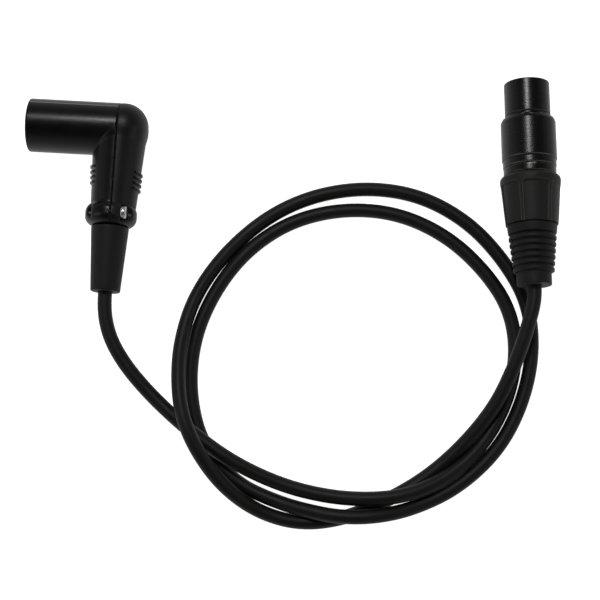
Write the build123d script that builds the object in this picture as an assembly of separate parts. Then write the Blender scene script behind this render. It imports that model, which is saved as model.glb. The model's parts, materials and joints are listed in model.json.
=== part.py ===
from build123d import *
import math
import os

# A one metre balanced audio cable with a right-angle male connector on one end and a straight
# female connector on the other. Both connectors and the loosely looped cord lie on a flat surface.
# Millimetres, +Z up, the surface is z = 0. The origin is below the middle of the two connectors.
# Each connector is modelled in its own plug frame: Z runs along its cord axis from the cord exit,
# X points to the right of the object and Y points down. A plane then lays it on the surface.

# ---- Driving dimensions: cord ----
CORD_D = 5.0
CORD_R = CORD_D / 2
WIRE_R = 0.7

# ---- Driving dimensions: fits ----
RUNNING = 0.05          # radial gap of a turning or hinged pair
SNUG = 0.05             # radial gap of pieces that are assembled and stay
LOOSE = 0.2             # gap between a moving piece and what it passes

# ---- Driving dimensions: contact layout shared by both connectors ----
CONTACT_R = 1.2         # radius of a male pin
PIN_SHOULDER_R = 1.6    # radius of the part of a pin that the insert holds
CONTACT_PCD_R = 4.765   # radius of the circle that the three contacts lie on
CONTACT_ANGLES = (53.13, -53.13, 180.0)

# ---- Driving dimensions: male connector ----
MALE_EXIT = (-63.4, -41.7)
MALE_LEG = 58.8         # cord exit to barrel axis
BARREL_R = 9.5
BARREL_BORE_R = 8.2
BARREL_REACH = 31.3     # leg axis to the mouth
COVER_REACH = 10.9      # leg axis to the back of the cover
COVER_ROUND = 8.4
MALE_WALL = 2.0
INSERT_FRONT = 15.0     # leg axis to the insert's front face
INSERT_BACK = 7.0
PIN_RECESS = 2.7        # pin tips lie this far inside the mouth
PIN_BACK = 3.5          # leg axis to the back of the solder cups
CUP_DEPTH = 3.0         # depth of a solder cup
LEG_TOP = (9.65, 9.3)   # half width and half depth of the leg at the barrel
LEG_TOP_X = 1.05
LEG_NECK = (8.0, 7.8)   # the same where the leg meets the flange ring
LEG_NECK_X = 0.6
RING_R = 9.1
RING_LOW = 23.2
RING_LENGTH = 8.2
RING_ROUND = 2.4
MALE_BOOT_END_R = 5.2
MALE_BOOT_TOP_R = 6.65
MALE_NECK_R = 4.6
MALE_FLANGE_R = 5.7
MALE_FLANGE_LENGTH = 2.0
SCREW_R = 1.1
SCREW_HEAD_R = 2.25
SCREW_HEAD_H = 1.9
SCREW_OFFSET = 6.7      # screw axis to leg axis
SCREW_SEAT = 3.4        # seam to the seat under the head
SCREW_TIP = 3.0         # seam to the screw's tip
GRIP_COUNT = 4
GRIP_PITCH = 1.9
GRIP_WIDTH = 1.0
GRIP_PROUD = 0.45
GRIP_LOW = 37.0

# ---- Driving dimensions: female connector ----
FEMALE_EXIT = (86.6, -31.8)
FEMALE_YAW = 3.4        # turned this far left of +Y
FEMALE_DIP = 2.0        # the nose dips this far, because the nut is the widest piece
FEMALE_ROLL = 45.0      # the connector lies rolled, with its latch low on the right
NOSE_R = 8.05
NOSE_BORE_R = 7.0
NOSE_LENGTH = 12.0
NECK_GAP = 0.9          # groove between nose and body
BODY_R = 9.7
BODY_LENGTH = 15.9
BODY_ROUND = 1.8
BAND_R = (9.25, 9.4)    # two turned steps behind the body
BAND_LENGTH = (2.7, 2.6)
THREAD_R = 8.0
REAR_ROOM = 1.5         # boot flange to the rear of the shell
SHELL_REAR_BORE_R = 6.6
NUT_REAR_R = 9.3
NUT_FRONT_R = 10.7
NUT_LENGTH = 17.8
NUT_ROUND = 1.6
NUT_LIP = 2.6           # thickness of the nut's rear lip
NUT_THREAD_PITCH = 1.6
NUT_TURNS = 2.5
COLLAR_R = 6.1
COLLAR_LENGTH = 4.6
RIB_END_R = 7.15
RIB_START_R = 8.8
RIB_COUNT = 6
RIB_PITCH = 2.25
RIB_GROOVE = 0.8        # width of a groove
RIB_DEPTH = 1.2
BOOT_TOP = 21.4         # cord exit to the boot's top rim
STEM_R = 6.4            # boot stem inside the nut's lip
STEM_FLANGE_R = 7.4
STEM_FLANGE_LENGTH = 1.8
SOCKET_R = 1.7
SOCKET_LENGTH = 15.0
FEMALE_INSERT_LENGTH = 16.5
FACE_RECESS = 0.8       # insert face behind the nose rim
CHUCK_R = 6.0
CHUCK_LENGTH = 9.0
CHUCK_SLOTS = 4
CHUCK_SLOT = 0.8
LEVER_WIDTH = 3.2
LEVER_LOW = 6.6         # inner and outer faces of the lever's arm, from the connector's axis
LEVER_HIGH = 7.6
LEVER_PIN_R = 0.6
LEVER_EYE_R = 1.25
LEVER_PIN_X = 7.2
LEVER_PIN_BEHIND = 3.1  # body to hinge pin
PAD_WIDTH = 4.2
PAD_LENGTH = 6.0
PAD_HIGH = 10.1
TOOTH_HIGH = 8.6
TOOTH_LENGTH = 2.3
TOOTH_BEHIND_TIP = 6.8
SPRING_THICK = 0.25
SPRING_WIDTH = 2.4
SLOT_FLOOR = 4.6        # floor of the lever's slot in the insert
CABLE_END = 40.0        # cord exit to the jacket's cut end, in both connectors
CORD_STRAIGHT = 3.3      # run straight out of each boot before the first corner

# ---- Cord route from the male boot to the female boot ----
# Corner points of the route between its straight ends. A smooth cord runs inside these corners.
CORD_POINTS = [
    # out of the male boot, drooping, then up over the inner loop
    (-62.7, -51.0, 9.4), (-60.8, -56.9, 9.1), (-57.8, -62.4, 8.7), (-52.4, -69.5, 8.0),
    (-43.4, -78.4, 7.0), (-31.2, -88.2, 7.7), (-16.0, -98.2, 7.8), (1.5, -105.3, 5.6),
    (18.0, -108.5, 6.2),
    # over the last strand, round the right side and back over the top, inner turn
    (33.0, -108.7, 8.1), (46.0, -106.5, 7.9), (58.8, -100.2, 5.6), (70.8, -89.2, 3.1),
    (79.2, -73.5, 2.5), (82.4, -56.0, 2.5), (79.8, -39.8, 2.5), (70.5, -26.0, 2.5),
    (56.5, -13.8, 2.5), (38.6, -6.4, 2.5), (19.0, -5.8, 2.5), (0.0, -11.4, 2.5),
    (-15.4, -23.2, 2.5), (-25.8, -38.6, 2.5), (-31.9, -56.0, 2.5), (-32.2, -75.0, 2.5),
    # under the first strand and over the last one
    (-26.6, -93.0, 2.5), (-14.0, -105.6, 2.5), (0.8, -111.3, 3.4), (12.6, -113.9, 6.2),
    (23.4, -115.2, 8.0), (35.2, -114.4, 7.9), (48.2, -111.0, 4.4), (63.2, -103.2, 2.5),
    # outer turn, under the female boot
    (76.8, -89.8, 2.5), (85.0, -73.2, 2.5), (88.6, -54.4, 2.5), (85.8, -36.6, 2.5),
    (76.6, -21.1, 2.5), (63.6, -8.0, 2.5), (46.2, 0.6, 2.5), (26.8, 2.5, 2.5),
    (7.4, -1.6, 2.5), (-9.2, -10.8, 2.5), (-23.6, -25.4, 2.6), (-33.0, -41.6, 3.2),
    # over the first strand in a long hump, then down to the surface
    (-36.4, -58.6, 6.4), (-35.6, -73.0, 11.0), (-33.0, -84.4, 13.6), (-27.4, -95.4, 13.2),
    (-18.4, -106.6, 8.4), (-6.2, -114.8, 3.4), (8.6, -118.4, 2.5), (23.8, -116.0, 2.5),
    # under the two strands, then up over them to the female boot
    (38.2, -109.2, 2.5), (52.4, -100.2, 2.6), (64.8, -88.2, 4.4), (74.6, -74.8, 7.6),
    (80.0, -62.8, 9.6), (83.6, -52.6, 11.1), (85.7, -45.0, 11.9), (86.6, -40.0, 12.2),
]


def turned(points):
    """A solid of revolution about Z from (radius, height) corners."""
    outline = Polyline(*points, close=True)
    return revolve(Plane.XZ * make_face(outline), Axis.Z)


def rod(radius, low, high):
    """A plain cylinder along Z."""
    return Pos(0, 0, low) * Cylinder(radius, high - low, align=(Align.CENTER, Align.CENTER, Align.MIN))


def block(x, y, z):
    """A box from three (low, high) pairs."""
    size = [high - low for low, high in (x, y, z)]
    centre = [(high + low) / 2 for low, high in (x, y, z)]
    return Pos(*centre) * Box(*size)


def sideways(shape):
    """Turn a piece made along Z so that it runs along -X at the height of the barrel's axis."""
    return Pos(0, 0, MALE_LEG) * Rot(0, -90, 0) * shape


def corner_radii(points, share=0.45):
    """The largest arc that each corner of a route has room for."""
    radii = []
    for before, here, after in zip(points, points[1:], points[2:]):
        first, second = Vector(here) - Vector(before), Vector(after) - Vector(here)
        half_turn = math.radians(first.get_angle(second)) / 2
        radii.append(share * min(first.length, second.length) / math.tan(half_turn))
    return radii


def tube(points, radius, radii=None):
    """A round tube along straight runs joined by tangent arcs."""
    path = FilletPolyline(*points, radius=radii or corner_radii(points))
    start = Plane(origin=path @ 0, z_dir=path % 0)
    return sweep(start * Circle(radius), path=path), path


def contact_places():
    """The three contacts' places across a connector, as (x, y)."""
    return [
        (CONTACT_PCD_R * math.cos(math.radians(angle)), CONTACT_PCD_R * math.sin(math.radians(angle)))
        for angle in CONTACT_ANGLES
    ]


def plug_plane(exit_xy, height, yaw, dip, roll):
    """The plane that lays a connector down: Z along its cord axis, and X right, Y down before its roll."""
    turn, tip, spin = math.radians(yaw), math.radians(dip), math.radians(roll)
    along = Vector(-math.sin(turn) * math.cos(tip), math.cos(turn) * math.cos(tip), -math.sin(tip))
    right = Vector(math.cos(turn), math.sin(turn), 0)
    x_dir = right * math.cos(spin) + along.cross(right) * math.sin(spin)
    return Plane(origin=(exit_xy[0], exit_xy[1], height), x_dir=x_dir, z_dir=along)


# ---- Male connector ----

RING_HIGH = RING_LOW + RING_LENGTH
SCREW_Z = RING_LOW + RING_LENGTH / 2
MALE_GROOVE_LOW = RING_HIGH - MALE_FLANGE_LENGTH - LOOSE


def leg_solid(grow):
    """The leg's oval taper between the flange ring and the barrel, grown or shrunk all round."""
    low = Pos(LEG_NECK_X, 0, RING_HIGH - 1.0) * Ellipse(LEG_NECK[0] + grow, LEG_NECK[1] + grow)
    high = Pos(LEG_TOP_X, 0, MALE_LEG) * Ellipse(LEG_TOP[0] + grow, LEG_TOP[1] + grow)
    return loft([low.face(), high.face()])


def barrel_solid():
    """The round barrel, carried on past the leg to the rounded back of the cover."""
    body = rod(BARREL_R, -COVER_REACH, BARREL_REACH)
    ends = body.edges().filter_by(GeomType.CIRCLE).sort_by(Axis.Z)
    body = fillet(ends[0], COVER_ROUND)
    mouth = body.edges().filter_by(GeomType.CIRCLE).sort_by(Axis.Z)[-1]
    return sideways(fillet(mouth, 0.4))


def flange_ring():
    """The bulging ring at the foot of the leg."""
    ring = rod(RING_R, RING_LOW, RING_HIGH)
    return fillet(ring.edges().filter_by(GeomType.CIRCLE), RING_ROUND)


def grip_ribs():
    """Short raised ribs on both sides of the leg."""
    ribs = []
    for number in range(GRIP_COUNT):
        low = GRIP_LOW + number * GRIP_PITCH
        ribs.append(block((-20, 20), (-4.5, 4.5), (low, low + GRIP_WIDTH)))
    return leg_solid(GRIP_PROUD) & Compound(children=ribs)


def screw_pockets():
    """The pockets round the two screw heads, and the matching ones on the other half."""
    pockets = []
    for side in (-1, 1):
        for hand in (-1, 1):
            reach = (SCREW_SEAT, RING_R + 1) if hand > 0 else (-RING_R - 1, -SCREW_SEAT)
            middle = (reach[0] + reach[1]) / 2
            wide = SCREW_HEAD_R + 0.5
            round_pocket = Rot(0, 90, 0) * Cylinder(wide, reach[1] - reach[0])
            pockets.append(Pos(middle, side * SCREW_OFFSET, SCREW_Z) * round_pocket)
            outward = sorted((side * SCREW_OFFSET, side * (RING_R + 1)))
            pockets.append(block(reach, outward, (SCREW_Z - wide, SCREW_Z + wide)))
    return pockets


def male_cavity():
    """The hollow inside the housing: barrel bore, elbow chamber, leg and boot seat."""
    bore = sideways(rod(BARREL_BORE_R, INSERT_BACK, BARREL_REACH + 1))
    chamber = sideways(rod(BARREL_R - MALE_WALL - 0.2, -COVER_REACH + 2 * MALE_WALL, INSERT_BACK + 1))
    low = Pos(LEG_NECK_X, 0, RING_HIGH) * Ellipse(LEG_NECK[0] - MALE_WALL, LEG_NECK[1] - MALE_WALL)
    high = Pos(LEG_TOP_X, 0, MALE_LEG) * Ellipse(LEG_TOP[0] - MALE_WALL, LEG_TOP[1] - MALE_WALL)
    leg = loft([low.face(), high.face()])
    neck = rod(MALE_NECK_R + LOOSE, RING_LOW - 1, RING_HIGH + 0.5)
    seat = rod(MALE_FLANGE_R + LOOSE, MALE_GROOVE_LOW, RING_HIGH + 0.4)
    return [bore, chamber, leg, neck, seat]


def male_halves():
    """Front shell with the barrel, and back cover, split on the leg's axis."""
    housing = barrel_solid() + leg_solid(0) + flange_ring() + grip_ribs()
    for hollow in male_cavity():
        housing -= hollow
    for pocket in screw_pockets():
        housing -= pocket
    catch = block((-BARREL_REACH + 5.6, -BARREL_REACH + 8.6), (-2.6, 2.6),
                  (MALE_LEG + 6, MALE_LEG + BARREL_BORE_R + 0.7))
    housing -= catch
    front = housing & block((-60, 0), (-20, 20), (0, 100))
    back = housing & block((0, 60), (-20, 20), (0, 100))
    for side in (-1, 1):
        place = Pos(0, side * SCREW_OFFSET, SCREW_Z) * Rot(0, 90, 0)
        front -= place * Cylinder(SCREW_R + SNUG, 2 * (SCREW_TIP + 0.2))
        back -= place * Cylinder(SCREW_R + LOOSE, 2 * SCREW_SEAT + 1)
    return front, back


def male_insert():
    """The disc that holds the three pins."""
    disc = rod(BARREL_BORE_R - SNUG, INSERT_BACK + 0.01, INSERT_FRONT)
    for x, y in contact_places():
        disc -= Pos(x, y, 0) * rod(PIN_SHOULDER_R + SNUG, 0, 40)
    return sideways(disc)


def male_pin(x, y):
    """A solid round pin with a domed tip and a solder cup at its back."""
    tip = BARREL_REACH - PIN_RECESS
    pin = rod(CONTACT_R, INSERT_FRONT, tip)
    pin = fillet(pin.edges().filter_by(GeomType.CIRCLE).sort_by(Axis.Z)[-1], 0.9)
    pin += rod(PIN_SHOULDER_R, PIN_BACK, INSERT_FRONT)
    pin -= rod(WIRE_R + SNUG, PIN_BACK - 1, PIN_BACK + CUP_DEPTH)
    return sideways(Pos(x, y, 0) * pin)


def flange_screws():
    """Two pan-head cross screws that clamp the halves, above and below the neck."""
    screws = []
    for side in (-1, 1):
        shaft = rod(SCREW_R, -SCREW_TIP, SCREW_SEAT)
        head = rod(SCREW_HEAD_R, SCREW_SEAT, SCREW_SEAT + SCREW_HEAD_H)
        head = fillet(head.edges().filter_by(GeomType.CIRCLE).sort_by(Axis.Z)[-1], 0.7)
        top = SCREW_SEAT + SCREW_HEAD_H
        for turn in (0, 90):
            head -= Rot(0, 0, turn) * block((-1.3, 1.3), (-0.3, 0.3), (top - 1.0, top + 1))
        screws.append(Pos(0, side * SCREW_OFFSET, SCREW_Z) * Rot(0, 90, 0) * (shaft + head))
    return Compound(children=screws)


def male_boot():
    """The tapered rubber strain relief, held by its flange inside the ring."""
    inner = CORD_R + LOOSE
    top = RING_LOW - LOOSE
    end = RING_HIGH - LOOSE / 2
    return turned([
        (inner, 0), (MALE_BOOT_END_R - 0.4, 0), (MALE_BOOT_END_R, 0.4), (MALE_BOOT_TOP_R, top),
        (MALE_NECK_R, top), (MALE_NECK_R, end - MALE_FLANGE_LENGTH),
        (MALE_FLANGE_R, end - MALE_FLANGE_LENGTH), (MALE_FLANGE_R, end), (inner, end),
    ])


def male_clamp():
    """The block that grips the cord's jacket inside the leg."""
    low = RING_HIGH + 2.0
    body = block((-3.4, 4.4), (-3.4, 3.4), (low, low + 4.5))
    return body - rod(CORD_R, 0, 60)


def male_wire(number, x, y):
    """An insulated core from the jacket's end to the back of its pin."""
    angle = math.radians((40, -40, 180)[number])
    start_x, start_y = 1.2 * math.cos(angle), 1.2 * math.sin(angle)
    level = MALE_LEG + x
    behind = (5.0, 3.6, 2.4)[number]
    route = [
        (start_x, start_y, CABLE_END), (start_x, start_y, CABLE_END + 4),
        (behind, y, level - 5.5), (behind, y, level), (-PIN_BACK - 0.2, y, level),
    ]
    return tube(route, WIRE_R, [1.6, 1.6, 2.0])[0]


def cable_end():
    """The jacketed end of the cord inside a connector."""
    return rod(CORD_R, 0, CABLE_END)


# ---- Female connector ----

NUT_LOW = BOOT_TOP + LOOSE
NUT_HIGH = NUT_LOW + NUT_LENGTH
SHELL_STEP = NUT_HIGH + LOOSE
BAND_1 = SHELL_STEP + BAND_LENGTH[0]
BODY_LOW = BAND_1 + BAND_LENGTH[1]
BODY_HIGH = BODY_LOW + BODY_LENGTH
NOSE_LOW = BODY_HIGH + NECK_GAP
TIP = NOSE_LOW + NOSE_LENGTH
FLANGE_LOW = NUT_LOW + NUT_LIP + LOOSE
FLANGE_HIGH = FLANGE_LOW + STEM_FLANGE_LENGTH
SHELL_REAR = FLANGE_HIGH + REAR_ROOM
INSERT_HIGH = TIP - FACE_RECESS
INSERT_LOW = INSERT_HIGH - FEMALE_INSERT_LENGTH
HINGE_Z = BODY_LOW - LEVER_PIN_BEHIND
PAD_LOW = HINGE_Z + 1.9
TOOTH_LOW = TIP - TOOTH_BEHIND_TIP - TOOTH_LENGTH
FEMALE_HEIGHT = (NUT_FRONT_R / math.cos(math.radians(FEMALE_DIP))
                 + (NUT_HIGH - NUT_ROUND) * math.sin(math.radians(FEMALE_DIP)))


def female_shell():
    """The turned metal shell: thread, two stepped bands, body, groove and nose."""
    shell = turned([
        (SHELL_REAR_BORE_R, SHELL_REAR), (THREAD_R, SHELL_REAR), (THREAD_R, SHELL_STEP),
        (BAND_R[0], SHELL_STEP), (BAND_R[0], BAND_1), (BAND_R[1], BAND_1), (BAND_R[1], BODY_LOW),
        (BODY_R, BODY_LOW + 0.2), (BODY_R, BODY_HIGH - BODY_ROUND),
        (BODY_R - 0.5, BODY_HIGH - BODY_ROUND / 3), (BODY_R - BODY_ROUND + 0.3, BODY_HIGH),
        (NOSE_R - 0.35, BODY_HIGH), (NOSE_R - 0.35, NOSE_LOW), (NOSE_R, NOSE_LOW),
        (NOSE_R, TIP - 0.4), (NOSE_R - 0.4, TIP), (NOSE_BORE_R, TIP),
        (NOSE_BORE_R, BODY_LOW + 2), (SHELL_REAR_BORE_R, BODY_LOW + 2),
    ])
    half = LEVER_WIDTH / 2 + LOOSE
    eye_top = LEVER_PIN_X + LEVER_EYE_R + 0.05
    shell -= block((SLOT_FLOOR, eye_top), (-half, half), (HINGE_Z - 1.6, BODY_HIGH - 1.5))
    shell -= block((SLOT_FLOOR, TOOTH_HIGH), (-half, half), (BODY_HIGH - 2, TOOTH_LOW + TOOTH_LENGTH + 0.5))
    window = PAD_WIDTH / 2 + LOOSE
    shell -= block((6, 12), (-window, window), (PAD_LOW - LOOSE, PAD_LOW + PAD_LENGTH + LOOSE))
    shell -= Pos(LEVER_PIN_X, 0, HINGE_Z) * Rot(90, 0, 0) * Cylinder(LEVER_PIN_R, LEVER_WIDTH + 2.4)
    return shell


def female_insert():
    """The moulded core with three socket holes and the slot that the latch sinks into."""
    core = rod(NOSE_BORE_R - SNUG, INSERT_LOW, INSERT_HIGH)
    for x, y in contact_places():
        core -= Pos(x, y, 0) * rod(SOCKET_R + SNUG, 0, INSERT_HIGH - 1.5)
        core -= Pos(x, y, 0) * rod(CONTACT_R + 0.25, 0, TIP + 1)
    half = LEVER_WIDTH / 2 + LOOSE
    slot_end = TOOTH_LOW + TOOTH_LENGTH + 0.5
    return core - block((SLOT_FLOOR, NOSE_R), (-half, half), (INSERT_LOW - 1, slot_end))


def female_socket(x, y):
    """A contact sleeve that takes a pin, with a solder cup behind."""
    high = INSERT_HIGH - 1.5 - SNUG
    low = high - SOCKET_LENGTH
    sleeve = rod(SOCKET_R, low, high) + rod(CONTACT_R, low - 4, low)
    sleeve -= rod(CONTACT_R + RUNNING, low + 1.5, high + 1)
    sleeve -= rod(WIRE_R + SNUG, low - 5, low - 4 + CUP_DEPTH)
    return Pos(x, y, 0) * sleeve


def latch_lever():
    """The latch: hinge eye, push pad, long arm and the tooth near the tip of the nose."""
    half = LEVER_WIDTH / 2
    tooth_high = TOOTH_LOW + TOOTH_LENGTH
    arm = block((LEVER_LOW, LEVER_HIGH), (-half, half), (HINGE_Z, tooth_high))
    eye = Pos(LEVER_PIN_X, 0, HINGE_Z) * Rot(90, 0, 0) * Cylinder(LEVER_EYE_R, LEVER_WIDTH)
    side = PAD_WIDTH / 2
    pad = block((LEVER_LOW, PAD_HIGH), (-side, side), (PAD_LOW, PAD_LOW + PAD_LENGTH))
    pad = fillet(pad.faces().sort_by(Axis.X)[-1].edges(), 0.5)
    slope = Polyline((LEVER_LOW, TOOTH_LOW), (TOOTH_HIGH, TOOTH_LOW), (TOOTH_HIGH, TOOTH_LOW + 0.8),
                     (LEVER_LOW, tooth_high), close=True)
    tooth = extrude(Plane.XZ * make_face(slope), half, both=True)
    lever = arm + eye + pad + tooth
    return lever - Pos(LEVER_PIN_X, 0, HINGE_Z) * Rot(90, 0, 0) * Cylinder(LEVER_PIN_R + RUNNING, 8)


def latch_pin():
    """The cross pin that the lever turns on."""
    return Pos(LEVER_PIN_X, 0, HINGE_Z) * Rot(90, 0, 0) * Cylinder(LEVER_PIN_R, LEVER_WIDTH + 2.3)


def latch_spring():
    """A bent leaf between the insert's slot and the underside of the lever."""
    low, high = SLOT_FLOOR, LEVER_LOW
    start = INSERT_LOW + 1.0
    outline = Polyline(
        (low, start), (low, start + 5.0), (high - SPRING_THICK, start + 9.0), (high, start + 9.0),
        (low + SPRING_THICK, start + 4.8), (low + SPRING_THICK, start), close=True)
    return extrude(Plane.XZ * make_face(outline), SPRING_WIDTH / 2, both=True)


def chuck():
    """The slotted collet that the nut squeezes onto the cord's jacket."""
    low = SHELL_REAR + 0.6
    high = low + CHUCK_LENGTH
    collet = turned([
        (CORD_R, low), (CHUCK_R - 1.2, low), (CHUCK_R, low + 2.4), (CHUCK_R, high), (CORD_R, high)])
    for number in range(CHUCK_SLOTS):
        slot = block((CORD_R - 0.5, CHUCK_R + 1), (-CHUCK_SLOT / 2, CHUCK_SLOT / 2), (low - 1, high - 2))
        collet -= Rot(0, 0, 45 + number * 360 / CHUCK_SLOTS) * slot
    return collet


def coupling_nut():
    """The tapered nut that screws over the rear of the shell and carries the boot."""
    return turned([
        (STEM_R + RUNNING, NUT_LOW), (NUT_REAR_R - 0.4, NUT_LOW), (NUT_REAR_R, NUT_LOW + 0.4),
        (NUT_FRONT_R, NUT_HIGH - NUT_ROUND), (NUT_FRONT_R - 0.5, NUT_HIGH - NUT_ROUND / 3),
        (NUT_FRONT_R - NUT_ROUND + 0.3, NUT_HIGH), (THREAD_R + RUNNING, NUT_HIGH),
        (THREAD_R + RUNNING, NUT_LOW + NUT_LIP), (STEM_R + RUNNING, NUT_LOW + NUT_LIP)])


def female_boot():
    """The ribbed rubber boot: end collar, tapering ribs, and the stem inside the nut."""
    inner = CORD_R + LOOSE
    boot = turned([
        (inner, 0), (COLLAR_R - 0.5, 0), (COLLAR_R, 0.5), (COLLAR_R, COLLAR_LENGTH),
        (RIB_END_R, COLLAR_LENGTH), (RIB_START_R, BOOT_TOP), (STEM_R, BOOT_TOP),
        (STEM_R, FLANGE_LOW), (STEM_FLANGE_R, FLANGE_LOW), (STEM_FLANGE_R, FLANGE_HIGH),
        (inner, FLANGE_HIGH)])
    for number in range(RIB_COUNT):
        low = COLLAR_LENGTH + (number + 1) * RIB_PITCH - RIB_GROOVE
        share = (low - COLLAR_LENGTH) / (BOOT_TOP - COLLAR_LENGTH)
        radius = RIB_END_R + share * (RIB_START_R - RIB_END_R)
        boot -= rod(radius + 1, low, low + RIB_GROOVE) - rod(radius - RIB_DEPTH, low - 1, low + 2)
    return boot


def female_wire(number, x, y):
    """An insulated core from the jacket's end to the back of its socket."""
    angle = math.radians((53, -53, 180)[number])
    start_x, start_y = 1.2 * math.cos(angle), 1.2 * math.sin(angle)
    back = INSERT_HIGH - 1.5 - SNUG - SOCKET_LENGTH - 4
    route = [
        (start_x, start_y, CABLE_END), (start_x, start_y, CABLE_END + 3),
        (x, y, back - 3), (x, y, back + 1.5),
    ]
    return tube(route, WIRE_R, [1.6, 1.6])[0]


def main():
    os.makedirs("parts", exist_ok=True)
    male = plug_plane(MALE_EXIT, BARREL_R, 0, 0, 0)
    female = plug_plane(FEMALE_EXIT, FEMALE_HEIGHT, FEMALE_YAW, FEMALE_DIP, FEMALE_ROLL)

    front, back = male_halves()
    pieces = {
        "male_front_shell": front, "male_back_cover": back, "male_insert": male_insert(),
        "male_flange_screws": flange_screws(), "male_boot": male_boot(),
        "male_cable_clamp": male_clamp(), "male_cable_end": cable_end(),
    }
    for number, (x, y) in enumerate(contact_places()):
        pieces[f"male_contact_pin_{number + 1}"] = male_pin(x, y)
        pieces[f"male_wire_{number + 1}"] = male_wire(number, x, y)
    for name, piece in pieces.items():
        export_step(male.location * piece, f"parts/{name}.step")

    pieces = {
        "female_shell": female_shell(), "female_insert": female_insert(),
        "female_latch_lever": latch_lever(), "female_latch_pin": latch_pin(),
        "female_latch_spring": latch_spring(), "female_chuck": chuck(),
        "female_coupling_nut": coupling_nut(), "female_boot": female_boot(),
        "female_cable_end": cable_end(),
    }
    for number, (x, y) in enumerate(contact_places()):
        pieces[f"female_contact_socket_{number + 1}"] = female_socket(x, y)
        pieces[f"female_wire_{number + 1}"] = female_wire(number, x, y)
    for name, piece in pieces.items():
        export_step(female.location * piece, f"parts/{name}.step")

    route = [male.origin, male.origin - male.z_dir * CORD_STRAIGHT]
    route += [Vector(*point) for point in CORD_POINTS]
    route += [female.origin - female.z_dir * CORD_STRAIGHT, female.origin]
    cord, path = tube(route, CORD_R)
    export_step(cord, "parts/cord.step")
    radii = corner_radii(route)
    section = math.pi * CORD_R ** 2
    print(f"female exit height {FEMALE_HEIGHT:.2f}, total length {TIP:.2f}")
    print(f"cord length {path.length:.1f}, volume ratio {cord.volume / (section * path.length):.4f}")
    print("cord radii", [round(radius) for radius in radii], "smallest", round(min(radii), 1))


main()
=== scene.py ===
import json
import math

import bmesh
import bpy
import numpy as np
from bpy.props import FloatProperty, FloatVectorProperty, IntProperty, PointerProperty
from mathutils import Matrix, Vector


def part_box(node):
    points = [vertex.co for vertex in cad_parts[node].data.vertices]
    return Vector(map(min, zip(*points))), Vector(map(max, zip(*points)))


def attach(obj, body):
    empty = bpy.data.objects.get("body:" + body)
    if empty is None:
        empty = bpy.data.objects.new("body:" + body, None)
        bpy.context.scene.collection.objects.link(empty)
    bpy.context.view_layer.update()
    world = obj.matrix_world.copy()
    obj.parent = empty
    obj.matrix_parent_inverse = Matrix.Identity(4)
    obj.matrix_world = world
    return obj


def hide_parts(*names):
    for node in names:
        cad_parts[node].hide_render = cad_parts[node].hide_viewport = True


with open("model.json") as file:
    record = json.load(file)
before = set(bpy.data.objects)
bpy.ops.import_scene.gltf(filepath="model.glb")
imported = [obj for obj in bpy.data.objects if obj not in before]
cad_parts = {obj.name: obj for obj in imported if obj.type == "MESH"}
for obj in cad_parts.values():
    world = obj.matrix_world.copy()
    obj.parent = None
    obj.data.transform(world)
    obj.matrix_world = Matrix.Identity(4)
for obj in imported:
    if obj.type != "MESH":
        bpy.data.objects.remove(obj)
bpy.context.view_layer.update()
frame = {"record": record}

# A balanced audio cable: right-angle male connector, straight female connector and a loose cord.
# Each connector is made in its own plug frame, in millimetres: Z runs along the cord axis from the
# cord exit, X points to the right and Y points down. A matrix from the frame lays it in place.

bl_info = {
    "name": "Balanced audio cable",
    "version": (1, 0, 0),
    "blender": (4, 5, 0),
    "location": "View3D > Sidebar > Cable",
    "description": "Builds the connectors, the cord and a plain studio round them",
    "category": "Object",
}

MM = 0.001


# ---- Places read from the frame ----

def joint(name):
    """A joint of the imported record."""
    return next(j for j in frame["record"]["behaviour"]["joints"] if j["name"] == name)


def mount(name):
    """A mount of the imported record."""
    return next(m for m in frame["record"]["mounts"] if m["name"] == name)


def plug_matrix(exit_point, along):
    """Plug frame in millimetres to the shared frame in metres."""
    along = Vector(along).normalized()
    right = Vector((along.y, -along.x, 0)).normalized()
    down = along.cross(right)
    axes = Matrix((right, down, along)).transposed()
    return Matrix.Translation(exit_point) @ axes.to_4x4() @ Matrix.Scale(MM, 4)


def male_plug():
    """The male plug frame, and its barrel axis above the cord exit in millimetres."""
    low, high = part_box("male_boot")
    exit_point = Vector(((low.x + high.x) / 2, low.y, (low.z + high.z) / 2))
    barrel_axis = mount("male_barrel")["pos_m"][1]
    return plug_matrix(exit_point, (0, 1, 0)), (barrel_axis - low.y) / MM


def female_plug():
    """The female plug frame: its nut turns on the cord axis, and its joint stands at the cord exit."""
    turn = joint("nut_turn")
    return plug_matrix(Vector(turn["pos_m"]), -Vector(turn["axis"]))


MALE, MALE_LEG = male_plug()
FEMALE = female_plug()
LATCH_ROLL = math.radians(45)      # the latch lies low on the right
PANEL_PHASE = math.radians(1)      # where the first land of the nut lies

SCREW_OFFSET = 6.7      # screw axis from the leg's axis, in millimetres
SCREW_HEIGHT = 27.3     # and from the cord exit

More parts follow.
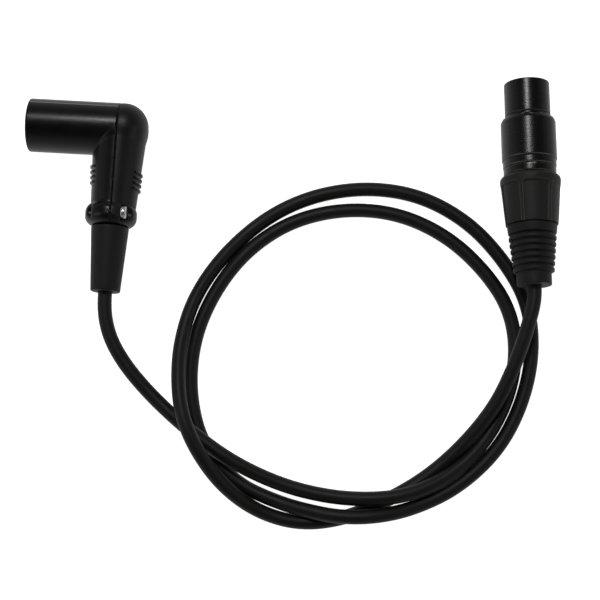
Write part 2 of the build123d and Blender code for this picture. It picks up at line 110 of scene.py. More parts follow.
# Corner points of the cord's route, from the male boot to the female boot, in metres.
CORD_ROUTE = [
    (-0.0634, -0.0417, 0.0095), (-0.0634, -0.0450, 0.0095),
    # out of the male boot, drooping, then up over the inner loop
    (-0.0627, -0.0510, 0.0094), (-0.0608, -0.0569, 0.0091), (-0.0578, -0.0624, 0.0087),
    (-0.0524, -0.0695, 0.0080), (-0.0434, -0.0784, 0.0070), (-0.0312, -0.0882, 0.0077),
    (-0.0160, -0.0982, 0.0078), (0.0015, -0.1053, 0.0056), (0.0180, -0.1085, 0.0062),
    # over the last strand, round the right side and back over the top, inner turn
    (0.0330, -0.1087, 0.0081), (0.0460, -0.1065, 0.0079), (0.0588, -0.1002, 0.0056),
    (0.0708, -0.0892, 0.0031), (0.0794, -0.0735, 0.0025), (0.0828, -0.0560, 0.0025),
    (0.0801, -0.0396, 0.0025), (0.0706, -0.0259, 0.0025), (0.0565, -0.0138, 0.0025),
    (0.0386, -0.0064, 0.0025), (0.0190, -0.0058, 0.0025), (0.0000, -0.0114, 0.0025),
    (-0.0154, -0.0232, 0.0025), (-0.0258, -0.0386, 0.0025), (-0.0319, -0.0560, 0.0025),
    (-0.0322, -0.0750, 0.0025),
    # under the first strand and over the last one
    (-0.0266, -0.0930, 0.0025), (-0.0140, -0.1056, 0.0025), (0.0008, -0.1113, 0.0034),
    (0.0126, -0.1139, 0.0062), (0.0234, -0.1152, 0.0080), (0.0352, -0.1144, 0.0079),
    (0.0482, -0.1110, 0.0044), (0.0632, -0.1032, 0.0025),
    # outer turn, under the female boot
    (0.0768, -0.0898, 0.0025), (0.0850, -0.0732, 0.0025), (0.0886, -0.0544, 0.0025),
    (0.0863, -0.0364, 0.0025), (0.0768, -0.0211, 0.0025), (0.0636, -0.0080, 0.0025),
    (0.0462, 0.0006, 0.0025), (0.0268, 0.0025, 0.0025), (0.0074, -0.0016, 0.0025),
    (-0.0092, -0.0108, 0.0025), (-0.0236, -0.0254, 0.0026), (-0.0330, -0.0416, 0.0032),
    # over the first strand in a long hump, then down to the surface
    (-0.0364, -0.0586, 0.0064), (-0.0356, -0.0730, 0.0110), (-0.0330, -0.0844, 0.0136),
    (-0.0274, -0.0954, 0.0132), (-0.0184, -0.1066, 0.0084), (-0.0062, -0.1148, 0.0034),
    (0.0086, -0.1184, 0.0025), (0.0238, -0.1160, 0.0025),
    # under the two strands, then up over them to the female boot
    (0.0382, -0.1092, 0.0025), (0.0524, -0.1002, 0.0026), (0.0648, -0.0882, 0.0044),
    (0.0746, -0.0748, 0.0076), (0.0798, -0.0628, 0.0096), (0.0831, -0.0526, 0.0111),
    (0.0850, -0.0450, 0.0119), (0.0862, -0.0400, 0.0122),
    (0.08680, -0.03509, 0.01215), (0.08660, -0.03180, 0.01203),
]


# ---- Colours and nodes ----

def colour(code):
    """Linear colour from an sRGB hex value."""
    parts = [int(code[i:i + 2], 16) / 255 for i in (1, 3, 5)]
    return [c / 12.92 if c <= 0.04045 else ((c + 0.055) / 1.055) ** 2.4 for c in parts] + [1.0]


def add(tree, kind, sockets=None, **settings):
    """Add a node, set its properties, and fill its sockets with values or links."""
    node = tree.nodes.new(kind)
    for key, value in settings.items():
        setattr(node, key, value)
    for key, value in (sockets or {}).items():
        if isinstance(value, bpy.types.NodeSocket):
            tree.links.new(value, node.inputs[key])
        else:
            node.inputs[key].default_value = value
    return node


def blank(name, **constants):
    """A material with only its output and shader; constants go straight on the shader."""
    material = bpy.data.materials.new(name)
    material.use_nodes = True
    tree = material.node_tree
    tree.nodes.clear()
    shader = add(tree, "ShaderNodeBsdfPrincipled")
    for key, value in constants.items():
        shader.inputs[key.replace("_", " ")].default_value = value
    add(tree, "ShaderNodeOutputMaterial", {"Surface": shader.outputs[0]})
    place = add(tree, "ShaderNodeTexCoord").outputs["Object"]
    return material, tree, shader, place


def per_mm(size):
    """Texture scale for a feature of this size in millimetres, on coordinates in metres."""
    return 1 / (size * MM)


def noise(tree, place, size, detail):
    """Noise with features of this size in millimetres."""
    node = add(tree, "ShaderNodeTexNoise", {"Vector": place, "Scale": per_mm(size), "Detail": detail})
    return node.outputs[0]


def mottled(tree, share, low, high):
    """Colour that wanders between two tones."""
    node = add(tree, "ShaderNodeMix", {0: share, 6: colour(low), 7: colour(high)}, data_type="RGBA")
    return node.outputs[2]


def between(tree, share, low, high):
    """Value that wanders between two limits."""
    return add(tree, "ShaderNodeMapRange", {"Value": share, "To Min": low, "To Max": high}).outputs[0]


def relief(tree, height, strength, depth):
    """Surface grain of this depth in millimetres."""
    node = add(tree, "ShaderNodeBump", {"Height": height, "Strength": strength, "Distance": depth * MM})
    return node.outputs[0]


def painted_edge_highlight(tree, tone, pale, low, high):
    """The tone, with pale highlights painted on its outer edges, where edges would catch the light."""
    # Painted highlight: convex edges, found by pointiness, are mixed toward the pale colour.
    edge = add(tree, "ShaderNodeNewGeometry").outputs["Pointiness"]
    highlight_share = add(tree, "ShaderNodeMapRange", {"Value": edge, "From Min": low, "From Max": high})
    mixed = add(tree, "ShaderNodeMix", {0: highlight_share.outputs[0], 6: tone, 7: colour(pale)}, data_type="RGBA")
    return mixed.outputs[2]


def wire(tree, shader, **sockets):
    """Link node outputs to the shader's sockets."""
    for key, output in sockets.items():
        tree.links.new(output, shader.inputs[key.replace("_", " ")])


def glossy_lacquer():
    """Die-cast zinc under glossy black lacquer: deep black, crisp streaks, orange peel, pale highlights
    painted on the edges.
    """
    material, tree, shader, place = blank("Zinc_glossy_black_lacquer", IOR=1.45, Coat_Weight=0.06,
                                          Coat_Roughness=0.1)
    smear = noise(tree, place, 4, 4.0)
    tone = mottled(tree, smear, "#080809", "#0e0e0f")
    # The base colour carries painted highlights: pale lines on the convex edges.
    wire(tree, shader, Roughness=between(tree, smear, 0.24, 0.38),
         Base_Color=painted_edge_highlight(tree, tone, "#7c7b78", 0.56, 0.62),
         Normal=relief(tree, noise(tree, place, 0.9, 2.0), 0.25, 0.05))
    return material


def satin_lacquer():
    """Die-cast zinc under satin black lacquer: the same black with a wide soft glow."""
    material, tree, shader, place = blank("Zinc_satin_black_lacquer", IOR=1.45)
    smear = noise(tree, place, 5, 5.0)
    wire(tree, shader, Roughness=between(tree, smear, 0.36, 0.5),
         Base_Color=mottled(tree, smear, "#0c0c0d", "#121212"),
         Normal=relief(tree, noise(tree, place, 0.35, 3.0), 0.2, 0.04))
    return material


def black_plate():
    """Turned zinc with satin black plating: sparkling highlight, and pale highlight lines painted on the
    outer edges.
    """
    material, tree, shader, place = blank("Zinc_black_satin_plate", Metallic=0.1, IOR=1.5)
    mottle = noise(tree, place, 0.8, 6.0)
    tone = mottled(tree, mottle, "#0d0d0e", "#1a1a1b")
    # The base colour carries painted highlights: pale lines on the convex edges.
    wire(tree, shader, Roughness=between(tree, mottle, 0.2, 0.36),
         Base_Color=painted_edge_highlight(tree, tone, "#8a8983", 0.52, 0.55),
         Normal=relief(tree, mottle, 0.35, 0.03))
    return material


def nylon_nut():
    """Glass-filled black nylon, spark-eroded mould: matte, with a fine even grain and grey highlights
    painted on its edges.
    """
    material, tree, shader, place = blank("Glass_filled_nylon_black", IOR=1.52)
    cloud = noise(tree, place, 3, 4.0)
    tone = mottled(tree, cloud, "#0c0d0b", "#151613")
    grain = add(tree, "ShaderNodeTexVoronoi", {"Vector": place, "Scale": per_mm(0.25)}).outputs[0]
    # The base colour carries painted highlights: grey lines on the convex edges.
    wire(tree, shader, Roughness=between(tree, cloud, 0.5, 0.64),
         Base_Color=painted_edge_highlight(tree, tone, "#45453f", 0.51, 0.53),
         Normal=relief(tree, grain, 0.25, 0.04))
    return material


def moulded_rubber():
    """Soft black thermoplastic rubber: dull, slightly dusty on its high spots."""
    material, tree, shader, place = blank("Soft_TPE_rubber_black", IOR=1.45, Sheen_Weight=0.06,
                                          Sheen_Roughness=0.5)
    dust = noise(tree, place, 1.6, 7.0)
    wire(tree, shader, Roughness=between(tree, dust, 0.5, 0.68),
         Base_Color=mottled(tree, dust, "#0c0c0c", "#151514"),
         Normal=relief(tree, noise(tree, place, 0.22, 2.0), 0.22, 0.04))
    return material


def cord_jacket():
    """Extruded flexible PVC: black with a soft band of light and faint ripples along it."""
    material, tree, shader, place = blank("Flexible_PVC_jacket_black", IOR=1.4)
    ripple = noise(tree, place, 6, 3.0)
    wire(tree, shader, Roughness=between(tree, ripple, 0.42, 0.58),
         Base_Color=mottled(tree, ripple, "#131313", "#1d1d1c"),
         Normal=relief(tree, noise(tree, place, 1.1, 4.0), 0.3, 0.06))
    return material


def insert_plastic():
    """Moulded black PBT, the contact carrier: semi-matte."""
    material, tree, shader, place = blank("PBT_contact_carrier_black", IOR=1.57)
    cloud = noise(tree, place, 2, 3.0)
    wire(tree, shader, Roughness=between(tree, cloud, 0.4, 0.52),
         Base_Color=mottled(tree, cloud, "#161616", "#1d1d1d"))
    return material


def nickel_steel():
    """Nickel-plated steel, machine-cut: bright silver with fine turning marks."""
    material, tree, shader, place = blank("Nickel_plated_steel", Metallic=1.0)
    marks = noise(tree, place, 0.5, 5.0)
    wire(tree, shader, Roughness=between(tree, marks, 0.26, 0.46),
         Base_Color=mottled(tree, marks, "#c9c7c1", "#f6f5f1"), Normal=relief(tree, marks, 0.2, 0.03))
    return material


def silver_contact():
    """Silver-plated brass, turned: pale warm metal, a little tarnish in patches."""
    material, tree, shader, place = blank("Silver_plated_brass", Metallic=1.0)
    tarnish = noise(tree, place, 2, 4.0)
    wire(tree, shader, Roughness=between(tree, tarnish, 0.15, 0.3),
         Base_Color=mottled(tree, tarnish, "#c2bba8", "#e9e6dd"))
    return material


def natural_nylon():
    """Unfilled nylon, moulded: milky off-white that lets a little light in."""
    material, tree, shader, place = blank("Natural_nylon", IOR=1.53, Roughness=0.45,
                                          Subsurface_Weight=0.2, Subsurface_Scale=0.5 * MM)
    wire(tree, shader, Base_Color=mottled(tree, noise(tree, place, 2, 2.0), "#cfc8b6", "#ddd8ca"))
    return material


def core_insulation(name, low, high):
    """Thin coloured PVC on a core: smooth, slightly glossy."""
    material, tree, shader, place = blank(name, IOR=1.5, Roughness=0.35)
    wire(tree, shader, Base_Color=mottled(tree, noise(tree, place, 1.5, 2.0), low, high))
    return material


FINISHES = {}


def make_finishes():
    """Every finish of the cable, made once."""
    FINISHES.update({
        "gloss": glossy_lacquer(), "satin": satin_lacquer(), "plate": black_plate(),
        "nylon": nylon_nut(), "rubber": moulded_rubber(), "jacket": cord_jacket(),
        "insert": insert_plastic(), "nickel": nickel_steel(), "silver": silver_contact(),
        "natural": natural_nylon(),
        "core_1": core_insulation("Core_PVC_green", "#1f6b33", "#2a7d3f"),
        "core_2": core_insulation("Core_PVC_red", "#a01e1e", "#b52a26"),
        "core_3": core_insulation("Core_PVC_white", "#d8d6cf", "#e6e4de"),
    })


# ---- Mesh making ----

def piece_from(name, vertices, faces, matrix, finish, smooth_below=40):
    """A finished piece at the origin: points laid in place, normals outward, soft shading."""
    mesh = bpy.data.meshes.new(name)
    mesh.from_pydata([tuple(p) for p in vertices], [], [tuple(f) for f in faces])
    mesh.transform(matrix)
    work = bmesh.new()
    work.from_mesh(mesh)
    bmesh.ops.recalc_face_normals(work, faces=work.faces)
    work.to_mesh(mesh)
    work.free()
    mesh.materials.append(finish)
    piece = bpy.data.objects.new(name, mesh)
    bpy.context.scene.collection.objects.link(piece)
    shade(piece, smooth_below)
    return piece


def shade(piece, smooth_below):
    """Smooth shading, with edges sharper than the angle kept crisp."""
    piece.data.shade_smooth()
    piece.data.set_sharp_from_angle(angle=math.radians(smooth_below))


def soften(outline, radius, steps=4):
    """Round every corner of a closed (radius, height) outline."""
    result = []
    count = len(outline)
    for i in range(count):
        before, here, after = (Vector(outline[(i + k) % count]) for k in (-1, 0, 1))
        reach_in = min(radius, 0.45 * (before - here).length)
        reach_out = min(radius, 0.45 * (after - here).length)
        start = here + (before - here).normalized() * reach_in
        end = here + (after - here).normalized() * reach_out
        for k in range(steps + 1):
            t = k / steps
            result.append(start * (1 - t) ** 2 + here * 2 * t * (1 - t) + end * t ** 2)
    return result


def densify(outline, spacing):
    """Add points so that no side of a closed outline is longer than the spacing."""
    result = []
    for here, after in zip(outline, outline[1:] + outline[:1]):
        count = max(1, math.ceil((after - here).length / spacing))
        result += [here.lerp(after, k / count) for k in range(count)]
    return result


def lathe(name, outline, matrix, finish, steps=96, carve=None, smooth_below=40):
    """A closed ring solid from an outline turned about Z; carve may lower the surface."""
    rows = len(outline)
    vertices = []
    for k in range(steps):
        angle = 2 * math.pi * k / steps
        for point in outline:
            radius = point[0] - (carve(angle, point[0], point[1]) if carve else 0)
            vertices.append((radius * math.cos(angle), radius * math.sin(angle), point[1]))
    faces = []
    for k in range(steps):
        here, there = k * rows, (k + 1) % steps * rows
        for i in range(rows):
            j = (i + 1) % rows
            faces.append((here + i, here + j, there + j, there + i))
    return piece_from(name, vertices, faces, matrix, finish, smooth_below)


# ---- Distance fields, for the cast housing ----

def soft_union(a, b, blend):
    """The nearer of two distances, with a fillet of about the blend's size."""
    mix = np.clip(0.5 + 0.5 * (b - a) / blend, 0, 1)
    return b * (1 - mix) + a * mix - blend * mix * (1 - mix)


def soft_cut(a, b, blend):
    """The first shape less the second, with a rounded edge."""
    return -soft_union(-a, b, blend)


def soft_common(a, b, blend):
    """What two shapes share, with a rounded edge."""
    return -soft_union(-a, -b, blend)


def drum(radial, axial, radius, low, high, edge):
    """Distance to a cylinder with rounded rims."""
    a = radial - (radius - edge)
    b = np.abs(axial - (low + high) / 2) - ((high - low) / 2 - edge)
    return np.hypot(np.maximum(a, 0), np.maximum(b, 0)) + np.minimum(np.maximum(a, b), 0) - edge


def oval_taper(p, low, high, grow=0.0):
    """Distance to the leg: an oval section that widens from low to high, each (z, x, half x, half y)."""
    share = np.clip((p[..., 2] - low[0]) / (high[0] - low[0]), 0, 1)
    middle, wide, deep = (low[k] + share * (high[k] - low[k]) for k in (1, 2, 3))
    wide, deep = wide + grow, deep + grow
    ratio = np.hypot((p[..., 0] - middle) / wide, p[..., 1] / deep)
    side = (ratio - 1) * np.minimum(wide, deep)
    return np.maximum(side, np.maximum(low[0] - p[..., 2], p[..., 2] - high[0]))


def skin(field, low, high, step):
    """Closed mesh of a distance field's surface: one point per crossed cell, pulled onto it."""
    axes = [np.arange(a, b + step, step) for a, b in zip(low, high)]
    inside = field(np.stack(np.meshgrid(*axes, indexing="ij"), -1)) < 0
    corners = [inside[i:i - 1 or None, j:j - 1 or None, k:k - 1 or None]
               for i in (0, 1) for j in (0, 1) for k in (0, 1)]
    filled = sum(c.astype(np.int8) for c in corners)
    crossed = (filled > 0) & (filled < 8)
    number = np.full(crossed.shape, -1)
    number[crossed] = np.arange(crossed.sum())
    points = (np.argwhere(crossed) + 0.5) * step + np.array(low)
    points = pull(field, points, step)
    return points, np.concatenate([walls(inside, number, axis) for axis in range(3)])


def pull(field, points, step):
    """Move points onto the surface, but no further than their own cell."""
    home = points.copy()
    small = step * 0.05
    for _ in range(5):
        distance = field(points)
        slope = np.stack([field(points + small * np.eye(3)[k]) - field(points - small * np.eye(3)[k])
                          for k in range(3)], -1) / (2 * small)
        points = points - distance[:, None] * slope / np.maximum((slope ** 2).sum(-1), 0.05)[:, None]
        points = np.clip(points, home - 0.75 * step, home + 0.75 * step)
    return points


def walls(inside, number, axis):
    """Four-sided faces across every grid edge along one axis that crosses the surface."""
    flag, cells = np.moveaxis(inside, axis, 0), np.moveaxis(number, axis, 0)
    change = flag[1:, 1:-1, 1:-1] != flag[:-1, 1:-1, 1:-1]
    i, j, k = np.nonzero(change)
    quads = np.stack([cells[i, j, k], cells[i, j + 1, k], cells[i, j + 1, k + 1], cells[i, j, k + 1]], -1)
    backward = flag[:-1, 1:-1, 1:-1][i, j, k]
    if axis == 1:
        backward = ~backward
    quads[backward] = quads[backward][:, ::-1]
    return quads


# ---- Sizes that a user would change ----

class StudioSizes(bpy.types.PropertyGroup):
    """Light and camera."""
    key_power: FloatProperty(name="Key power", description="Power of the overhead soft box",
                             default=3.4, unit="POWER")
    fill_power: FloatProperty(name="Fill power", description="Power of each side soft box",
                              default=0.8, unit="POWER")
    room: FloatProperty(name="Room", description="Brightness of the room at table height", default=0.35)
    table: FloatProperty(name="Table", description="Light that the table throws up", default=0.32)
    ceiling: FloatProperty(name="Ceiling", description="Brightness of the room overhead", default=0.03)
    focal_length: FloatProperty(name="Focal length", description="Lens in millimetres", default=75.0)
    distance: FloatProperty(name="Distance", description="Camera to the surface", default=0.448,
                            unit="LENGTH")
    floor_colour: FloatVectorProperty(name="Floor", description="Colour of the surface", size=4,
                                      subtype="COLOR", default=colour("#f4f4f3"))


class HousingSizes(bpy.types.PropertyGroup):
    """Male housing, in millimetres."""
    barrel_radius: FloatProperty(name="Barrel radius", description="Outside of the barrel", default=9.5)
    bore_radius: FloatProperty(name="Bore radius", description="Inside of the barrel", default=8.2)
    reach: FloatProperty(name="Reach", description="Leg axis to mouth", default=31.3)
    back: FloatProperty(name="Back", description="Leg axis to the back of the cover", default=10.9)
    seam: FloatProperty(name="Seam", description="Leg axis to the seam", default=1.0)
    ring_radius: FloatProperty(name="Ring radius", description="Outside of the flange ring", default=9.1)
    step: FloatProperty(name="Step", description="Mesh size", default=0.34)


class CordSizes(bpy.types.PropertyGroup):
    """The free cord."""
    diameter: FloatProperty(name="Diameter", description="Outside of the jacket", default=0.005,
                            unit="LENGTH")


class FemaleSizes(bpy.types.PropertyGroup):
    """Female connector, in millimetres."""
    panels: IntProperty(name="Panels", description="Recessed panels round the nut", default=6)
    panel_depth: FloatProperty(name="Panel depth", description="Depth of a panel", default=0.4)
    rib_count: IntProperty(name="Ribs", description="Raised rings on the boot", default=6)
    rib_pitch: FloatProperty(name="Rib pitch", description="From ring to ring", default=2.25)
    rib_width: FloatProperty(name="Rib width", description="Length of a ring along the boot", default=1.45)


# ---- Ring tree, for ribs ----

def rib_tree():
    """Geometry Nodes: rounded ribs that follow an oval, spaced along Z."""
    tree = bpy.data.node_groups.new("Spaced_ribs", "GeometryNodeTree")
    face = tree.interface
    for name, kind, value in (
            ("Count", "NodeSocketInt", 7), ("Start", "NodeSocketFloat", 0.0),
            ("Pitch", "NodeSocketFloat", 1.0), ("Low Radii", "NodeSocketVector", (1, 1, 0)),
            ("High Radii", "NodeSocketVector", (1, 1, 0)), ("Middle", "NodeSocketFloat", 0.0),
            ("Tilt", "NodeSocketFloat", 0.0), ("From", "NodeSocketFloat", 0.0),
            ("Sweep", "NodeSocketFloat", 2 * math.pi), ("Width", "NodeSocketFloat", 1.0),
            ("Thickness", "NodeSocketFloat", 1.0), ("Edge", "NodeSocketFloat", 0.2),
            ("Finish", "NodeSocketMaterial", None)):
        socket = face.new_socket(name, in_out="INPUT", socket_type=kind)
        if value is not None:
            socket.default_value = value
    face.new_socket("Geometry", in_out="OUTPUT", socket_type="NodeSocketGeometry")
    given = add(tree, "NodeGroupInput").outputs
    start = add(tree, "ShaderNodeCombineXYZ", {"X": given["Middle"], "Z": given["Start"]})
    offset = add(tree, "ShaderNodeCombineXYZ", {"Z": given["Pitch"]})
    line = add(tree, "GeometryNodeMeshLine", {"Count": given["Count"], "Start Location": start.outputs[0],
                                              "Offset": offset.outputs[0]})
    index = add(tree, "GeometryNodeInputIndex")
    last = add(tree, "ShaderNodeMath", {0: given["Count"], 1: 1.0}, operation="SUBTRACT")
    share = add(tree, "ShaderNodeMath", {0: index.outputs[0], 1: last.outputs[0]}, operation="DIVIDE")
    radii = add(tree, "ShaderNodeMix", {0: share.outputs[0], 4: given["Low Radii"], 5: given["High Radii"]},
                data_type="VECTOR")
    turn = add(tree, "ShaderNodeCombineXYZ", {"Y": given["Tilt"]})
    arc = add(tree, "GeometryNodeCurveArc", {"Resolution": 96, "Radius": 1.0, "Start Angle": given["From"],
                                             "Sweep Angle": given["Sweep"]})
    spread = add(tree, "GeometryNodeInstanceOnPoints", {
        "Points": line.outputs[0], "Instance": arc.outputs[0], "Rotation": turn.outputs[0],
        "Scale": radii.outputs[1]})
    loops = add(tree, "GeometryNodeRealizeInstances", {0: spread.outputs[0]})
    bar = add(tree, "GeometryNodeCurvePrimitiveQuadrilateral", {"Width": given["Thickness"],
                                                                "Height": given["Width"]})
    round_bar = add(tree, "GeometryNodeFilletCurve", {"Curve": bar.outputs[0], "Radius": given["Edge"],
                                                      "Count": 3}, mode="POLY")
    mesh = add(tree, "GeometryNodeCurveToMesh", {"Curve": loops.outputs[0], "Profile Curve":
                                                 round_bar.outputs[0], "Fill Caps": True})
    whole = add(tree, "GeometryNodeRealizeInstances", {0: mesh.outputs[0]})
    coated = add(tree, "GeometryNodeSetMaterial", {"Geometry": whole.outputs[0],
                                                   "Material": given["Finish"]})
    add(tree, "NodeGroupOutput", {0: coated.outputs[0]})
    return tree


def grown(name, tree, matrix, smooth_below=40, **values):
    """Run a tree once with these inputs, and keep its result as a plain mesh in place."""
    seed = bpy.data.objects.new(name, bpy.data.meshes.new(name))
    bpy.context.scene.collection.objects.link(seed)
    modifier = seed.modifiers.new("Grow", "NODES")
    modifier.node_group = tree
    for item in tree.interface.items_tree:
        key = item.name.lower().replace(" ", "_")
        if item.in_out == "INPUT" and key in values:
            modifier[item.identifier] = values[key]
    seed.data.update()
    view = bpy.context.evaluated_depsgraph_get()
    mesh = bpy.data.meshes.new_from_object(seed.evaluated_get(view), depsgraph=view)
    seed.modifiers.remove(modifier)
    mesh.transform(matrix)
    work = bmesh.new()
    work.from_mesh(mesh)
    bmesh.ops.remove_doubles(work, verts=work.verts, dist=1e-6)
    bmesh.ops.recalc_face_normals(work, faces=work.faces)
    work.to_mesh(mesh)
    work.free()
    seed.data = mesh
    shade(seed, smooth_below)
    return seed


# ---- Operators ----

class CABLE_OT_stage(bpy.types.Operator):
    """Pale floor and backdrop, soft boxes and the camera"""
    bl_idname = "cable.stage"
    bl_label = "Stage"

    def execute(self, context):
        sizes = context.scene.cable_studio
        self.floor(sizes)
        self.lights(sizes)
        self.camera(sizes)
        return {"FINISHED"}

    def floor(self, sizes):
        """A floor that the camera sees white, and a far backdrop of the same tone."""
        material = bpy.data.materials.new("White_acrylic_table")
        material.use_nodes = True
        tree = material.node_tree
        tree.nodes.clear()
        paint = add(tree, "ShaderNodeBsdfDiffuse", {"Color": sizes.floor_colour})
        glow = add(tree, "ShaderNodeEmission", {"Color": sizes.floor_colour, "Strength": 1.1})
        both = add(tree, "ShaderNodeAddShader", {0: paint.outputs[0], 1: glow.outputs[0]})
        add(tree, "ShaderNodeOutputMaterial", {"Surface": both.outputs[0]})
        bpy.ops.mesh.primitive_plane_add(size=6, location=(0, 0, 0))
        floor = bpy.context.object
        floor.name = "Floor"
        bpy.ops.mesh.primitive_uv_sphere_add(radius=5, segments=48, ring_count=24)
        backdrop = bpy.context.object
        backdrop.name = "Backdrop"
        for surface in (floor, backdrop):
            surface.data.materials.append(material)
            surface.visible_diffuse = False
            surface.visible_glossy = False
        backdrop.visible_shadow = False

    def lights(self, sizes):
        """One soft box behind and above, and two weaker ones at the sides."""
        for name, place, size, power in (
                ("Key", (-0.15, 0.5, 1.1), (0.24, 0.18), sizes.key_power),
                ("Left", (-1.0, -0.15, 0.7), (0.5, 0.7), sizes.fill_power),
                ("Right", (1.0, -0.15, 0.7), (0.5, 0.7), sizes.fill_power)):
            light = bpy.data.lights.new(name, "AREA")
            light.shape = "RECTANGLE"
            light.size, light.size_y = size
            light.energy = power
            lamp = bpy.data.objects.new(name, light)
            lamp.location = place
            lamp.rotation_euler = (-Vector(place)).to_track_quat("-Z", "Y").to_euler()
            bpy.context.scene.collection.objects.link(lamp)
        bpy.context.scene.world = self.room(sizes)
        bpy.context.scene.view_settings.view_transform = "Standard"

    def room(self, sizes):
        """A dim ceiling over a bright table: light grows from overhead to the horizon and below."""
        world = bpy.data.worlds.new("Room")
        world.use_nodes = True
        tree = world.node_tree
        tree.nodes.clear()
        toward = add(tree, "ShaderNodeTexCoord").outputs["Generated"]
        height = add(tree, "ShaderNodeSeparateXYZ", {0: toward}).outputs[2]
        level = add(tree, "ShaderNodeMapRange", {"Value": height, "From Min": -0.05, "From Max": 0.8,
                                                 "To Min": sizes.room, "To Max": sizes.ceiling},
                    interpolation_type="SMOOTHSTEP")
        table = add(tree, "ShaderNodeMapRange", {"Value": height, "From Min": 0.0, "From Max": -0.5,
                                                 "To Min": 0.0, "To Max": sizes.table})
        both = add(tree, "ShaderNodeMath", {0: level.outputs[0], 1: table.outputs[0]})
        glow = add(tree, "ShaderNodeBackground", {"Color": colour("#ffffff"), "Strength": both.outputs[0]})
        add(tree, "ShaderNodeOutputWorld", {"Surface": glow.outputs[0]})
        return world

    def camera(self, sizes):
        """Almost straight down, tipped a little from the near side, and rolled a little."""
        tip, roll = math.radians(8.5), math.radians(3.1)
        turn = Matrix.Rotation(roll, 3, "Z")
        target = Vector((5.0, -39.5, 0)) * MM
        back = turn @ Vector((0, -math.sin(tip), math.cos(tip)))
        up = turn @ Vector((0, math.cos(tip), math.sin(tip)))
        axes = Matrix((up.cross(back), up, back)).transposed()
        lens = bpy.data.cameras.new("Camera")
        lens.lens = sizes.focal_length
        lens.clip_start = 0.01
        camera = bpy.data.objects.new("Camera", lens)
        camera.matrix_world = Matrix.Translation(target + back * sizes.distance) @ axes.to_4x4()
        bpy.context.scene.collection.objects.link(camera)
        bpy.context.scene.camera = camera


class CABLE_OT_cord(bpy.types.Operator):
    """The free cord, one smooth line from boot to boot"""
    bl_idname = "cable.cord"
    bl_label = "Cord"

    def execute(self, context):
        diameter = context.scene.cable_cord.diameter
        curve = bpy.data.curves.new("Cord_line", "CURVE")
        curve.dimensions = "3D"
        curve.resolution_u = 16
        curve.bevel_depth = diameter / 2
        curve.bevel_resolution = 7
        curve.use_fill_caps = True
        line = curve.splines.new("NURBS")
        line.points.add(len(CORD_ROUTE) - 1)
        for point, place in zip(line.points, CORD_ROUTE):
            point.co = (*place, 1)
        line.order_u = 3
        line.use_endpoint_u = True
        curve.materials.append(FINISHES["jacket"])
        cord = bpy.data.objects.new("Cord", curve)
        context.scene.collection.objects.link(cord)
        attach(cord, "cable")
        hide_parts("cord")
        return {"FINISHED"}


